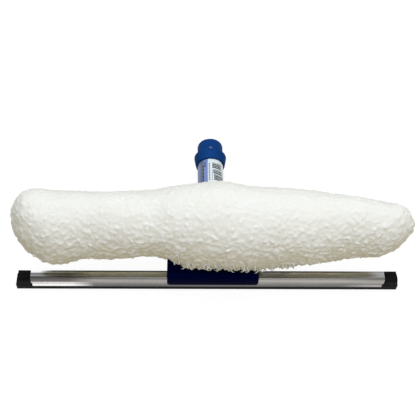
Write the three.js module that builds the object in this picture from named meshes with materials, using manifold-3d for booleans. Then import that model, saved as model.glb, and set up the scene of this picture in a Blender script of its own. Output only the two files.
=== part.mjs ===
// Two-in-one window washer: a squeegee on one side, a fleece washer sleeve on the other,
// and a short handle with a lock ring and a spigot for an extension pole.
//
// Millimetres. +X runs along the squeegee, +Y towards the handle's end and +Z up.
// The origin is on the blade's wiping edge, in line with the handle. The blade sits a little
// off centre in its clamp. The tool lies on that edge and on the lowest line of its lock
// ring, both at z = 0.

import * as THREE from 'three';
import { mergeVertices } from 'three/addons/utils/BufferGeometryUtils.js';
import Module from 'manifold-3d';

const wasm = await Module();
wasm.setup();

// Gaps and cuts
const weldDistance = 0.0001;
const fit = 0.3;
const threadFit = 0.15;
const overrun = 2;
const roundSegments = 48;
const screwSegments = 20;
const labelSegments = 32;

// Blade rubber: a bulb held in the channel, a neck through its mouth and a lip below it
const squeegeeLength = 350;
const bladeOffset = 3.5;
const lipHeight = 7;
const lipThickness = 3;
const neckThickness = 3.2;
const bulbRadius = 3.3;

// Squeegee channel
const channelHeight = 16.5;
const channelWidth = 10;
const channelWall = 1.1;
const waistWidth = 6.4;
const waistFold = 1.6;
const shoulderDrop = 7.5;
const shoulderSlope = 3.2;
const channelCorner = 2.4;
const endCapLength = 15.5;
const endCapSetback = 0.5;
const endCapRounding = 0.8;
const endLean = 4;

// Clamp: the front jaw and the yoke's rear jaw, which hold the channel between them
const clampWidth = 82;
const clampHeight = 7.5;
const clampDepth = 15;
const frontJawThickness = 2;
const frontJawReach = 6.6;
const frontJawNose = 3.4;
const rearJawThickness = 3.6;
const rearJawReach = 10.5;
const jawSplit = 1.15;
const noseRounding = 4;
const jawScrewMargin = 7;
const jawScrewRadius = 1.5;
const jawHeadRadius = 2.8;
const jawHeadHeight = 2;
const jawNutFlats = 5.5;
const jawNutThickness = 2.4;
const jawNutCover = 2.6;

// Yoke: web behind the clamp, with the stem's pocket and the handle's socket
const webBottom = 4;
const webInset = 4;
const webEndWidth = 28;
const webEnd = 46;
const webFlare = 12;
const socketWall = 2.3;
const socketStart = 33;
const socketEnd = 66;
const socketChamfer = 1.2;
const coreFloor = 5;

// Handle
const ringRadius = 16.1;
const tubeRadius = 12.5;
const tubeWall = 1.6;
const tubeStart = 39;
const tubeEnd = 135.3;
const bungLength = 18;
const bungFlange = 2;
const bungHole = 5;
const tubeScrewPlace = 50;
const labelStart = 80;
const labelEnd = 130.6;
const labelThickness = 0.2;
const labelTurnShare = 0.8;

// Pole spigot
const spigotRadius = 12.8;
const spigotTipRadius = 11.6;
const spigotEnd = 158;
const spigotChamfer = 2.6;
const shankLength = 26;
const shankBore = 7.4;
const shankFloor = 4;
const flangeRadius = 14.2;
const flangeThickness = 2.6;
const spigotScrewSetback = 14;

// Lock ring
const ringLength = 10.5;
const ringNeckRadius = 14.3;
const ringNeckLength = 2;
const ringShoulderRadius = 15.1;
const ringShoulderLength = 5.4;
const ringRim = 0.8;
const notchWidth = 3.6;
const notchDepth = 2.2;

// Lock button and its spring, in a radial well in the spigot
const buttonRadius = 1.8;
const buttonRise = 1.6;
const buttonDome = 0.5;
const buttonGap = 0.7;
const buttonFlangeRadius = 2.35;
const buttonFlangeThickness = 1.2;
const buttonShaft = 3.8;
const springLength = 4.6;
const springWire = 0.3;
const springTurns = 4;
const springStepsPerTurn = 10;
const springSides = 6;

// Small countersunk screws under the handle
const smallScrewRadius = 1.4;
const smallHeadRadius = 2.7;
const smallHeadHeight = 1.4;
const tubeScrewLength = 12;
const spigotScrewLength = 4.4;

// T-bar and its stem
const barCentreY = 25.5;
const barCentreZ = 67.5;
const barEndMargin = 23;
const barHeight = 40;
const barDepth = 20;
const barEndRadius = 19;
const barBevel = 4;
const barHubWidth = 60;
const slotCount = 4;
const slotHeight = 20;
const slotRib = 6;
const slotCorner = 4;
const slotEndMargin = 12;
const stemWidth = 44;
const stemThickness = 7;
const stemFoot = 9.3;
const stemInsert = 16;
const stemCorner = 3;
const stemScrewSpacing = 26;
const stemScrewLength = 13;
const barScrewSpacing = 26;
const barScrewSetback = 8;
const screwRadius = 2;
const headRadius = 3.8;
const headHeight = 2.4;
const recessWidth = 1;
const recessLengthShare = 1.2;
const headTopShare = 0.8;
const recessDepthShare = 0.5;
const nutFlats = 7;
const nutThickness = 3.2;

// Washer sleeve
const sleeveLength = 350;
const sleeveDepth = 54;
const sleeveHeight = 72;
const sleeveFit = 0.5;
const lumpSize = 1.1;
const longWaves = 5;
const shortWaves = 11;
const sleeveSides = 24;
const bindingThickness = 0.9;
const bindingHeight = 9;
const mouthHeight = 18;
const stripThickness = 1;
const stripLength = 17;
const stripStandoff = 1.6;

// Heights and places that follow from the sizes above
const channelBottom = lipHeight;
const channelTop = channelBottom + channelHeight;
const clampTop = channelTop + clampHeight;
const channelLength = squeegeeLength - 2 * endCapLength;
const bulbHeight = channelTop - channelWall - fit - bulbRadius;
const axisHeight = ringRadius;
const frontFace = -(channelWidth / 2 + fit + frontJawThickness);
const clampBack = frontFace + clampDepth + frontJawThickness + channelWidth / 2;
const jawScrewHeight = channelTop + fit + (clampHeight - fit) / 2;
const jawScrewSpacing = clampWidth - 2 * jawScrewMargin;
const webWidth = clampWidth - 2 * webInset;
const jawHeadSeat = channelWidth / 2 + fit + rearJawThickness;
const socketRadius = tubeRadius + fit + socketWall;
const bungStart = tubeStart - fit - bungFlange;
const tubeBore = tubeRadius - tubeWall;
const flangeStart = tubeEnd + fit;
const ringStart = labelEnd + 2 * fit;
const ringEnd = ringStart + ringLength;
const buttonPlace = ringEnd + buttonGap + buttonRadius;
const buttonTop = spigotRadius + buttonRise;
const buttonFlangeTop = buttonTop - buttonShaft;
const buttonFlangeBottom = buttonFlangeTop - buttonFlangeThickness;
const springTop = buttonFlangeBottom - fit;
const springBottom = springTop - springLength;
const springRadius = buttonFlangeRadius - 2 * springWire;
const barLength = sleeveLength - 2 * barEndMargin;
const barBottom = barCentreZ - barHeight / 2;
const stemTop = barBottom + stemInsert - fit;
const bindingInset = 2 * fit + bindingThickness;
const mouthStart = barLength / 2;
const mouthDepth = 2 * (stripThickness + fit) + fit;

// Sections of the sleeve from its left end to its right end: where the section is, as a share of
// the half length, its depth and height beside the nominal section, and how far its middle hangs
// forward of and below the bar's middle, as a share of the half depth and half height.
const sleeveSectionShares = [
  [-1.0, 0.34, 0.34, -0.1],
  [-0.975, 0.58, 0.58, -0.07],
  [-0.936, 0.85, 0.85, -0.02],
  [-0.896, 0.97, 0.97, 0.03],
  [-0.857, 1.05, 1.03, 0.08],
  [-0.81, 1.1, 1.06, 0.115],
  [-0.75, 1.08, 1.04, 0.1],
  [-0.69, 1.01, 1.0, 0.05],
  [-0.62, 0.97, 0.97, 0.03],
  [-0.53, 0.99, 0.99, 0.05],
  [-0.44, 0.98, 0.98, 0.055],
  [-0.36, 0.96, 0.95, 0.035],
  [-0.285, 0.98, 0.96, 0.01],
  [-0.21, 1.1, 1.05, 0.01],
  [-0.14, 1.2, 1.1, 0.03],
  [-0.06, 1.25, 1.13, 0.05],
  [0.03, 1.25, 1.13, 0.055],
  [0.12, 1.23, 1.09, 0.07],
  [0.21, 1.21, 1.08, 0.08],
  [0.3, 1.18, 1.06, 0.08],
  [0.39, 1.15, 1.03, 0.085],
  [0.48, 1.12, 1.02, 0.08],
  [0.56, 1.05, 0.99, 0.075],
  [0.64, 0.97, 0.94, 0.06],
  [0.72, 0.93, 0.91, 0.075],
  [0.79, 0.86, 0.86, 0.1],
  [0.85, 0.79, 0.79, 0.1],
  [0.9, 0.68, 0.68, 0.07],
  [0.945, 0.5, 0.5, 0.01],
  [0.98, 0.32, 0.32, -0.01],
  [1.0, 0.18, 0.18, -0.01],
];

// Materials
function finish(color, roughness, metalness = 0) {
  return new THREE.MeshStandardMaterial({ color, roughness, metalness });
}
const steel = finish(0xb9b7b4, 0.22, 1);
const screwSteel = finish(0xa6a8ab, 0.35, 1);
const blackRubber = finish(0x111113, 0.8);
const capBlack = finish(0x1c1b20, 0.7);
const navyPlastic = finish(0x060d33, 0.5);
const bluePlastic = finish(0x16448a, 0.4);
const paperFilm = finish(0xeef2fa, 0.6);
const fleece = finish(0xf1efe6, 0.95);
const tapeCloth = finish(0xdedbd2, 0.9);
const greyPlastic = finish(0x9aa0a6, 0.55);

// Solid modelling helpers
function signedVolume(points, index) {
  const a = new THREE.Vector3();
  const b = new THREE.Vector3();
  const c = new THREE.Vector3();
  let volume = 0;
  for (let i = 0; i < index.length; i += 3) {
    a.fromArray(points, 3 * index[i]);
    b.fromArray(points, 3 * index[i + 1]);
    c.fromArray(points, 3 * index[i + 2]);
    volume += a.dot(b.cross(c));
  }
  return volume;
}

function toSolid(geometry) {
  const bare = geometry.clone();
  bare.deleteAttribute('normal');
  bare.deleteAttribute('uv');
  const merged = mergeVertices(bare, weldDistance);
  const points = merged.attributes.position.array;
  const index = [];
  for (let i = 0; i < merged.index.count; i += 3) {
    const corners = [0, 1, 2].map((k) => merged.index.getX(i + k));
    if (new Set(corners).size === corners.length) {
      index.push(...corners);
    }
  }
  if (signedVolume(points, index) < 0) {
    index.reverse();
  }
  const vertProperties = new Float32Array(points);
  const triVerts = new Uint32Array(index);
  return new wasm.Manifold(new wasm.Mesh({ numProp: 3, vertProperties, triVerts }));
}

function toGeometry(solid) {
  const mesh = solid.getMesh();
  const geometry = new THREE.BufferGeometry();
  geometry.setAttribute('position', new THREE.BufferAttribute(mesh.vertProperties, 3));
  geometry.setIndex(new THREE.BufferAttribute(mesh.triVerts, 1));
  geometry.computeVertexNormals();
  return geometry;
}

function join(...solids) {
  return solids.reduce((sum, solid) => sum.add(solid));
}

function cut(solid, ...tools) {
  return tools.reduce((rest, tool) => rest.subtract(tool), solid);
}

function block(low, high) {
  const size = high.map((value, k) => value - low[k]);
  const geometry = new THREE.BoxGeometry(...size);
  geometry.translate(...high.map((value, k) => (value + low[k]) / 2));
  return toSolid(geometry);
}

// Turns a shape made along +Y so that it runs along another axis
function along(geometry, axis) {
  if (axis === 'z') {
    geometry.rotateX(Math.PI / 2);
  }
  if (axis === '-z') {
    geometry.rotateX(-Math.PI / 2);
  }
  return geometry;
}

function rod(radius, start, end, axis, at, segments = screwSegments) {
  const geometry = new THREE.CylinderGeometry(radius, radius, end - start, segments);
  geometry.translate(0, (start + end) / 2, 0);
  along(geometry, axis);
  geometry.translate(...at);
  return toSolid(geometry);
}

function turned(profile, segments = roundSegments) {
  const points = profile.map(([radius, place]) => new THREE.Vector2(radius, place));
  return new THREE.LatheGeometry(points, segments);
}

// A ring's profile meets itself: its first point is repeated at the end
function closedProfile(profile) {
  return [...profile, profile[0]];
}

// Extrudes an outline of (y, z) points along X, centred, with bevelled ends
function extrudeAlongX(shape, length, rounding = 0) {
  const geometry = new THREE.ExtrudeGeometry(shape, {
    depth: length - 2 * rounding,
    bevelEnabled: rounding > 0,
    bevelThickness: rounding,
    bevelSize: rounding,
    bevelOffset: -rounding,
    bevelSegments: 3,
    curveSegments: 6,
  });
  geometry.translate(0, 0, rounding - length / 2);
  const turn = new THREE.Matrix4().makeBasis(
    new THREE.Vector3(0, 1, 0),
    new THREE.Vector3(0, 0, 1),
    new THREE.Vector3(1, 0, 0),
  );
  geometry.applyMatrix4(turn);
  return toSolid(geometry);
}

function polygon(points) {
  return new THREE.Shape(points.map(([x, y]) => new THREE.Vector2(x, y)));
}

function mirrored(points) {
  return points.map(([x, y]) => [-x, y]).reverse();
}

function roundedRectangle(width, height, corner) {
  const x = width / 2 - corner;
  const y = height / 2 - corner;
  const shape = new THREE.Shape();
  shape.absarc(x, -y, corner, -Math.PI / 2, 0);
  shape.absarc(x, y, corner, 0, Math.PI / 2);
  shape.absarc(-x, y, corner, Math.PI / 2, Math.PI);
  shape.absarc(-x, -y, corner, Math.PI, 1.5 * Math.PI);
  return shape;
}

// Pan head screw along +Y: its seat is at 0, its shank runs to -length and its head stands up
function panScrew(radius, headSize, headRise, length) {
  const profile = [
    [0, -length],
    [radius - threadFit, -length],
    [radius, -length + radius],
    [radius, 0],
    [headSize, 0],
    [headSize, headRise / 2],
    [headSize * headTopShare, headRise],
    [0, headRise],
  ];
  const arm = recessLengthShare * radius;
  const floor = headRise - headRise * recessDepthShare;
  const top = headRise + overrun;
  const body = toSolid(turned(profile, screwSegments));
  const slotA = block([-arm, floor, -recessWidth / 2], [arm, top, recessWidth / 2]);
  const slotB = block([-recessWidth / 2, floor, -arm], [recessWidth / 2, top, arm]);
  return toGeometry(cut(body, slotA, slotB));
}

// Countersunk screw along +Y: its head is flush at 0 and its shank runs to -length
function flushScrew(length, grow = 0) {
  const profile = [
    [0, -length - grow],
    [smallScrewRadius + grow, -length - grow],
    [smallScrewRadius + grow, -smallHeadHeight - grow],
    [smallHeadRadius + grow, 0],
    [0, 0],
  ];
  return turned(profile, screwSegments);
}

function flushScrewHole(length) {
  const shaft = toSolid(flushScrew(length, fit));
  const mouth = rod(smallHeadRadius + fit, -threadFit, overrun, 'y', [0, 0, 0]);
  return toGeometry(join(shaft, mouth));
}

// Hexagonal nut along +Y from 0 to its thickness, with flats above and below
function nut(flats, thickness, bore) {
  const corner = flats / Math.sqrt(3);
  const hex = new THREE.CylinderGeometry(corner, corner, thickness, 6);
  hex.rotateY(Math.PI / 6);
  hex.translate(0, thickness / 2, 0);
  const hole = rod(bore, -overrun, thickness + overrun, 'y', [0, 0, 0]);
  return cut(toSolid(hex), hole);
}

function nutPocket(flats, start, end, at) {
  const corner = (flats + 2 * fit) / Math.sqrt(3);
  const hex = new THREE.CylinderGeometry(corner, corner, end - start, 6);
  hex.rotateY(Math.PI / 6);
  hex.translate(at[0], (start + end) / 2, at[2]);
  return toSolid(hex);
}

function moved(geometry, at) {
  return toSolid(geometry.clone().translate(...at));
}

function piece(name, solid, material) {
  const mesh = new THREE.Mesh(toGeometry(solid), material);
  mesh.name = name;
  return mesh;
}

// Two like pieces, one on each side of the middle
function pair(name, solid, material, spacing, [y, z]) {
  return [['left', -1], ['right', 1]].map(([side, sign]) => {
    const mesh = piece(`${name}_${side}`, solid, material);
    mesh.position.set((sign * spacing) / 2, y, z);
    return mesh;
  });
}

// Squeegee: channel, rubber and end caps
function channelHalfOutline(inset) {
  const top = channelTop - inset;
  const halfWidth = channelWidth / 2 - inset;
  const corner = channelCorner - inset / 2;
  const shoulder = channelTop - shoulderDrop;
  const halfWaist = waistWidth / 2 - inset;
  const halfMouth = neckThickness / 2 + fit + channelWall - inset;
  const points = [
    [halfMouth, channelBottom],
    [halfWaist, channelBottom + waistFold],
    [halfWaist, shoulder - shoulderSlope],
    [halfWidth, shoulder],
  ];
  for (const turn of [0, 0.25, 0.5, 0.75, 1]) {
    const angle = (turn * Math.PI) / 2;
    const y = halfWidth - corner + corner * Math.cos(angle);
    const z = top - corner + corner * Math.sin(angle);
    points.push([y, z]);
  }
  return points;
}

function channelOutline() {
  const outer = channelHalfOutline(0);
  const inner = channelHalfOutline(channelWall);
  return polygon([...outer, ...mirrored(outer), ...mirrored(inner).reverse(), ...[...inner].reverse()]);
}

function rubberOutline(grow) {
  const radius = bulbRadius + grow;
  const halfNeck = neckThickness / 2 + grow;
  const halfLip = lipThickness / 2 + grow;
  const start = Math.asin(halfNeck / radius) - Math.PI / 2;
  const shape = new THREE.Shape();
  shape.moveTo(-halfLip, -grow);
  shape.lineTo(halfLip, -grow);
  shape.lineTo(halfNeck, channelBottom);
  shape.absarc(0, bulbHeight, radius, start, Math.PI - start);
  shape.lineTo(-halfNeck, channelBottom);
  return shape;
}

function bladeChannel() {
  return piece('blade_channel', extrudeAlongX(channelOutline(), channelLength), steel);
}

// Cuts an end face so that it leans back from the channel's bottom to its top
function leaningCut(side, face) {
  const top = channelTop + overrun;
  const lean = (endLean * (top - channelBottom)) / channelHeight;
  const outline = polygon([
    [side * face, channelBottom],
    [side * (face + overrun), channelBottom],
    [side * (face + overrun), top],
    [side * (face - lean), top],
  ]);
  return barPlate(outline, channelWidth + 2 * overrun, [0, 0, 0]);
}

function bladeRubber() {
  const cuts = [-1, 1].map((side) => leaningCut(side, squeegeeLength / 2));
  return piece('blade_rubber', cut(extrudeAlongX(rubberOutline(0), squeegeeLength), ...cuts), blackRubber);
}

function endCap(name, side) {
  const length = endCapLength - fit - endCapSetback;
  const middle = side * (channelLength / 2 + fit + length / 2);
  const half = channelHalfOutline(0);
  const body = extrudeAlongX(polygon([...half, ...mirrored(half)]), length, endCapRounding);
  const passage = extrudeAlongX(rubberOutline(fit), length + 2 * overrun);
  const cap = piece(name, cut(body, passage, leaningCut(side, length / 2)), capBlack);
  cap.position.x = middle;
  return cap;
}

function bladeGroup() {
  const group = new THREE.Group();
  group.position.x = -bladeOffset;
  group.add(bladeChannel(), bladeRubber(), endCap('end_cap_left', -1), endCap('end_cap_right', 1));
  return group;
}

// Clamp
function jawScrewPlaces() {
  return [-jawScrewSpacing / 2, jawScrewSpacing / 2].map((x) => [x, 0, jawScrewHeight]);
}

function jawPlate() {
  const inner = -(channelWidth / 2 + fit);
  const tip = channelTop - frontJawReach;
  const thin = frontJawThickness / 3;
  const shape = new THREE.Shape();
  shape.moveTo(-jawSplit - fit / 2, channelTop + fit);
  shape.lineTo(inner, channelTop + fit);
  shape.lineTo(inner, tip + thin);
  shape.lineTo(inner - thin, tip);
  shape.lineTo(inner - 2 * thin, tip + thin / 2);
  shape.lineTo(frontFace, tip + frontJawNose);
  shape.lineTo(frontFace, clampTop - noseRounding);
  shape.absarc(frontFace + noseRounding, clampTop - noseRounding, noseRounding, Math.PI, Math.PI / 2, true);
  shape.lineTo(-jawSplit - fit / 2, clampTop);
  const body = extrudeAlongX(shape, clampWidth, thin / 2);
  const rear = -jawSplit - fit / 2;
  const pocketFloor = frontFace + jawNutCover;
  const pockets = jawScrewPlaces().map((at) => nutPocket(jawNutFlats, pocketFloor, rear + overrun, at));
  return piece('jaw_plate', cut(body, ...pockets), navyPlastic);
}

function jawNuts() {
  const start = frontFace + jawNutCover + fit;
  const single = nut(jawNutFlats, jawNutThickness, jawScrewRadius + threadFit);
  return pair('jaw_nut', single, screwSteel, jawScrewSpacing, [start, jawScrewHeight]);
}

function jawScrewLength() {
  return jawHeadSeat + fit - (frontFace + jawNutCover + fit);
}

function jawScrews() {
  const single = toSolid(panScrew(jawScrewRadius, jawHeadRadius, jawHeadHeight, jawScrewLength()));
  return pair('jaw_screw', single, screwSteel, jawScrewSpacing, [jawHeadSeat + fit, jawScrewHeight]);
}

// Yoke
function clampBar() {
  const front = -jawSplit + fit / 2;
  const rearJaw = channelWidth / 2 + fit;
  const jawBottom = channelTop - rearJawReach;
  const shape = polygon([
    [front, clampTop],
    [front, channelTop + fit],
    [rearJaw, channelTop + fit],
    [rearJaw, jawBottom],
    [rearJaw + rearJawThickness, jawBottom - fit],
    [clampBack, webBottom + coreFloor],
    [clampBack, clampTop],
  ]);
  return extrudeAlongX(shape, clampWidth, fit);
}

function webOutline(inset) {
  const front = clampBack - clampDepth / 3 + inset;
  const end = webEnd - inset;
  const half = webWidth / 2 - inset;
  const endHalf = webEndWidth / 2 - inset;
  const shape = new THREE.Shape();
  shape.moveTo(-half, front);
  shape.lineTo(half, front);
  shape.lineTo(half, clampBack);
  shape.bezierCurveTo(half, clampBack + webFlare, endHalf, end - webFlare, endHalf, end);
  shape.lineTo(-endHalf, end);
  shape.bezierCurveTo(-endHalf, end - webFlare, -half, clampBack + webFlare, -half, clampBack);
  return shape;
}

function slab(shape, bottom, top) {
  const geometry = new THREE.ExtrudeGeometry(shape, {
    depth: top - bottom,
    bevelEnabled: false,
    curveSegments: 8,
  });
  geometry.translate(0, 0, bottom);
  return toSolid(geometry);
}

function stemScrewPlaces() {
  return [-stemScrewSpacing / 2, stemScrewSpacing / 2].map((x) => [x, barCentreY, 0]);
}

function yoke() {
  const axisPoint = [0, 0, axisHeight];
  const web = slab(webOutline(0), webBottom, clampTop);
  const socketProfile = [
    [0, socketStart],
    [socketRadius, socketStart],
    [socketRadius, socketEnd - socketChamfer],
    [socketRadius - socketChamfer, socketEnd],
    [0, socketEnd],
  ];
  const socket = moved(turned(socketProfile), axisPoint);
  const body = join(clampBar(), web, socket);
  const bore = rod(tubeRadius + fit, bungStart - fit, socketEnd + overrun, 'y', axisPoint, roundSegments);
  const halfPocket = stemWidth / 2 + fit;
  const halfThickness = stemThickness / 2 + fit;
  const stemPocket = block(
    [-halfPocket, barCentreY - halfThickness, stemFoot - fit],
    [halfPocket, barCentreY + halfThickness, clampTop + overrun],
  );
  const tools = [bore, stemPocket];
  for (const [x, , z] of jawScrewPlaces()) {
    tools.push(rod(jawScrewRadius + fit, -jawSplit - overrun, jawHeadSeat + overrun, 'y', [x, 0, z]));
    tools.push(rod(jawHeadRadius + fit, jawHeadSeat, webEnd, 'y', [x, 0, z]));
  }
  const seat = webBottom + headHeight + fit;
  for (const [x, y] of stemScrewPlaces()) {
    tools.push(rod(screwRadius + fit, webBottom - overrun, stemFoot + overrun, 'z', [x, y, 0]));
    tools.push(rod(headRadius + fit, webBottom - overrun, seat, 'z', [x, y, 0]));
  }
  const screwHole = along(flushScrewHole(tubeScrewLength), '-z');
  tools.push(moved(screwHole, [0, tubeScrewPlace, axisHeight - socketRadius]));
  return piece('yoke', cut(body, ...tools), navyPlastic);
}

// Stem and its screws
function stemPlate() {
  const height = stemTop - stemFoot;
  const outline = roundedRectangle(stemWidth, height, stemCorner);
  const plate = barPlate(outline, stemThickness, [0, barCentreY, stemFoot + height / 2]);
  const tools = [];
  for (const [x, y] of stemScrewPlaces()) {
    const end = webBottom + headHeight + fit + stemScrewLength + fit;
    tools.push(rod(screwRadius + threadFit, stemFoot - overrun, end, 'z', [x, y, 0]));
  }
  for (const [x, y, z] of barScrewPlaces()) {
    const half = stemThickness / 2 + overrun;
    tools.push(rod(screwRadius + fit, y - half, y + half, 'y', [x, 0, z]));
  }
  return piece('stem_plate', cut(plate, ...tools), greyPlastic);
}

function stemScrews() {
  const single = toSolid(along(panScrew(screwRadius, headRadius, headHeight, stemScrewLength), '-z'));
  const seat = webBottom + headHeight;
  return pair('stem_screw', single, screwSteel, stemScrewSpacing, [barCentreY, seat]);
}

// T-bar, with its screws and nuts
function barScrewPlaces() {
  const z = barBottom + barScrewSetback;
  return [-barScrewSpacing / 2, barScrewSpacing / 2].map((x) => [x, barCentreY, z]);
}

// An outline of (x, z) points made a plate of the given thickness, middle at the bar's middle
function barPlate(shape, thickness, at) {
  const geometry = new THREE.ExtrudeGeometry(shape, {
    depth: thickness,
    bevelEnabled: false,
    curveSegments: 3,
  });
  geometry.translate(0, 0, -thickness / 2);
  geometry.rotateX(Math.PI / 2);
  geometry.translate(...at);
  return toSolid(geometry);
}

function waterSlots() {
  const run = (barLength - barHubWidth) / 2 - slotEndMargin;
  const pitch = run / slotCount;
  const outline = roundedRectangle(pitch - slotRib, slotHeight, slotCorner);
  const slots = [];
  for (let k = 0; k < slotCount; k += 1) {
    const x = barHubWidth / 2 + pitch * (k + 1 / 2);
    for (const side of [-1, 1]) {
      slots.push(barPlate(outline, barDepth + 2 * overrun, [side * x, barCentreY, barCentreZ]));
    }
  }
  return slots;
}

function barSolid(grow) {
  const shape = roundedRectangle(barLength + 2 * grow, barHeight + 2 * grow, barEndRadius + grow);
  const geometry = new THREE.ExtrudeGeometry(shape, {
    depth: barDepth + 2 * grow - 2 * barBevel,
    bevelEnabled: true,
    bevelThickness: barBevel,
    bevelSize: barBevel / 2,
    bevelOffset: -barBevel / 2,
    bevelSegments: 2,
    curveSegments: 6,
  });
  geometry.translate(0, 0, barBevel - barDepth / 2 - grow);
  geometry.rotateX(Math.PI / 2);
  geometry.translate(0, barCentreY, barCentreZ);
  return toSolid(geometry);
}

function washerBar() {
  const halfPocket = stemWidth / 2 + fit;
  const halfThickness = stemThickness / 2 + fit;
  const tools = [
    block(
      [-halfPocket, barCentreY - halfThickness, barBottom - overrun],
      [halfPocket, barCentreY + halfThickness, barBottom + stemInsert],
    ),
  ];
  const front = barCentreY - barDepth / 2;
  const back = barCentreY + barDepth / 2;
  for (const [x, , z] of barScrewPlaces()) {
    tools.push(rod(screwRadius + fit, front - overrun, back + overrun, 'y', [x, 0, z]));
    tools.push(rod(headRadius + fit, front - overrun, front + headHeight + fit, 'y', [x, 0, z]));
    tools.push(nutPocket(nutFlats, back - nutThickness - fit, back + overrun, [x, 0, z]));
  }
  return piece('washer_bar', cut(barSolid(0), ...waterSlots(), ...tools), greyPlastic);
}

function barScrews() {
  const length = barDepth - headHeight - fit;
  const single = panScrew(screwRadius, headRadius, headHeight, length).rotateX(Math.PI);
  const seat = barCentreY - barDepth / 2 + headHeight;
  const place = [seat, barBottom + barScrewSetback];
  return pair('bar_screw', toSolid(single), screwSteel, barScrewSpacing, place);
}

function barNuts() {
  const start = barCentreY + barDepth / 2 - nutThickness;
  const single = nut(nutFlats, nutThickness, screwRadius + threadFit);
  return pair('bar_nut', single, screwSteel, barScrewSpacing, [start, barBottom + barScrewSetback]);
}

// Washer sleeve: a soft lofted body round the bar, open for the stem below and at its right end
function lump(place, angle) {
  const long = Math.sin(Math.PI * longWaves * place + 2 * Math.sin(angle));
  const short = Math.sin(Math.PI * shortWaves * place + 3 * angle) * Math.cos(2 * angle);
  return (lumpSize * (long + short)) / 2;
}

function sleeveRing([place, depthShare, heightShare, hang]) {
  const x = (place * sleeveLength) / 2;
  const middleY = barCentreY - (hang * sleeveDepth) / 2;
  const middleZ = barCentreZ - (hang * sleeveHeight) / 2;
  const ring = [];
  for (let k = 0; k < sleeveSides; k += 1) {
    const angle = (2 * Math.PI * k) / sleeveSides;
    const bump = lump(place, angle) * depthShare;
    const halfDepth = (depthShare * sleeveDepth) / 2 + bump;
    const halfHeight = (heightShare * sleeveHeight) / 2 + bump;
    ring.push(x, middleY + halfDepth * Math.cos(angle), middleZ + halfHeight * Math.sin(angle));
  }
  return ring;
}

// Skins rings of equal length and closes the two ends with a fan about their middles
function loft(rings) {
  const sides = rings[0].length / 3;
  const points = rings.flat();
  const index = [];
  for (let r = 0; r + 1 < rings.length; r += 1) {
    for (let k = 0; k < sides; k += 1) {
      const a = r * sides + k;
      const b = r * sides + ((k + 1) % sides);
      index.push(a, b, a + sides, b, b + sides, a + sides);
    }
  }
  for (const [row, flip] of [[0, true], [rings.length - 1, false]]) {
    const middle = [0, 1, 2].map((axis) => {
      const values = rings[row].filter((_, i) => i % 3 === axis);
      return values.reduce((sum, value) => sum + value) / sides;
    });
    const hub = points.length / 3;
    points.push(...middle);
    for (let k = 0; k < sides; k += 1) {
      const a = row * sides + k;
      const b = row * sides + ((k + 1) % sides);
      index.push(...(flip ? [hub, b, a] : [hub, a, b]));
    }
  }
  const geometry = new THREE.BufferGeometry();
  geometry.setAttribute('position', new THREE.Float32BufferAttribute(points, 3));
  geometry.setIndex(index);
  return toSolid(geometry);
}

function yokeClearance() {
  const web = slab(webOutline(-fit), -overrun, clampTop + fit);
  const halfClamp = clampWidth / 2 + fit;
  const clamp = block([-halfClamp, frontFace - fit, -overrun], [halfClamp, clampBack, clampTop + fit]);
  const axisPoint = [0, 0, axisHeight];
  const socket = rod(socketRadius + fit, socketStart - fit, socketEnd + fit, 'y', axisPoint, roundSegments);
  return join(web, clamp, socket);
}

function washerSleeve() {
  const outer = loft(sleeveSectionShares.map(sleeveRing));
  const halfSlot = stemWidth / 2 + bindingInset;
  const halfSlotDepth = stemThickness / 2 + bindingInset;
  const stemSlot = block(
    [-halfSlot, barCentreY - halfSlotDepth, clampTop - overrun],
    [halfSlot, barCentreY + halfSlotDepth, barCentreZ],
  );
  const mouth = block(
    [mouthStart - overrun, barCentreY - mouthDepth / 2, barCentreZ - mouthHeight / 2],
    [sleeveLength / 2 + overrun, barCentreY + mouthDepth / 2, barCentreZ + mouthHeight / 2],
  );
  const sleeve = cut(outer, barSolid(sleeveFit), stemSlot, mouth, yokeClearance());
  return piece('washer_sleeve', sleeve, fleece);
}

function stemBinding() {
  const outer = roundedRectangle(
    stemWidth + 2 * (fit + bindingThickness),
    stemThickness + 2 * (fit + bindingThickness),
    bindingThickness + fit,
  );
  const halfX = stemWidth / 2 + fit;
  const halfY = stemThickness / 2 + fit;
  outer.holes.push(polygon([[-halfX, -halfY], [-halfX, halfY], [halfX, halfY], [halfX, -halfY]]));
  const bottom = clampTop + fit;
  const solid = slab(outer, bottom, bottom + bindingHeight);
  const binding = piece('stem_binding', solid, tapeCloth);
  binding.position.y = barCentreY;
  return binding;
}

function closureStrip(name, side) {
  const near = side * (fit / 2);
  const far = side * (fit / 2 + stripThickness);
  const start = mouthStart + stripStandoff;
  const low = [start, Math.min(near, far), fit - mouthHeight / 2];
  const high = [start + stripLength, Math.max(near, far), mouthHeight / 2 - fit];
  const strip = piece(name, block(low, high), tapeCloth);
  strip.position.set(0, barCentreY, barCentreZ);
  return strip;
}

function washerGroup() {
  const group = new THREE.Group();
  group.add(stemPlate(), ...stemScrews(), washerBar(), ...barScrews(), ...barNuts());
  group.add(washerSleeve(), stemBinding());
  group.add(closureStrip('hook_strip', -1), closureStrip('loop_strip', 1));
  return group;
}

// Handle, built about its own axis, which the group lifts to its height
function handleTube() {
  const profile = closedProfile([
    [tubeBore, tubeStart],
    [tubeRadius, tubeStart],
    [tubeRadius, tubeEnd],
    [tubeBore, tubeEnd],
  ]);
  const front = along(flushScrewHole(tubeScrewLength), '-z');
  const back = along(flushScrewHole(spigotScrewLength), '-z');
  const tools = [
    moved(front, [0, tubeScrewPlace, -socketRadius]),
    moved(back, [0, spigotScrewPlace(), -tubeRadius]),
  ];
  return piece('handle_tube', cut(toSolid(turned(profile)), ...tools), bluePlastic);
}

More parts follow.
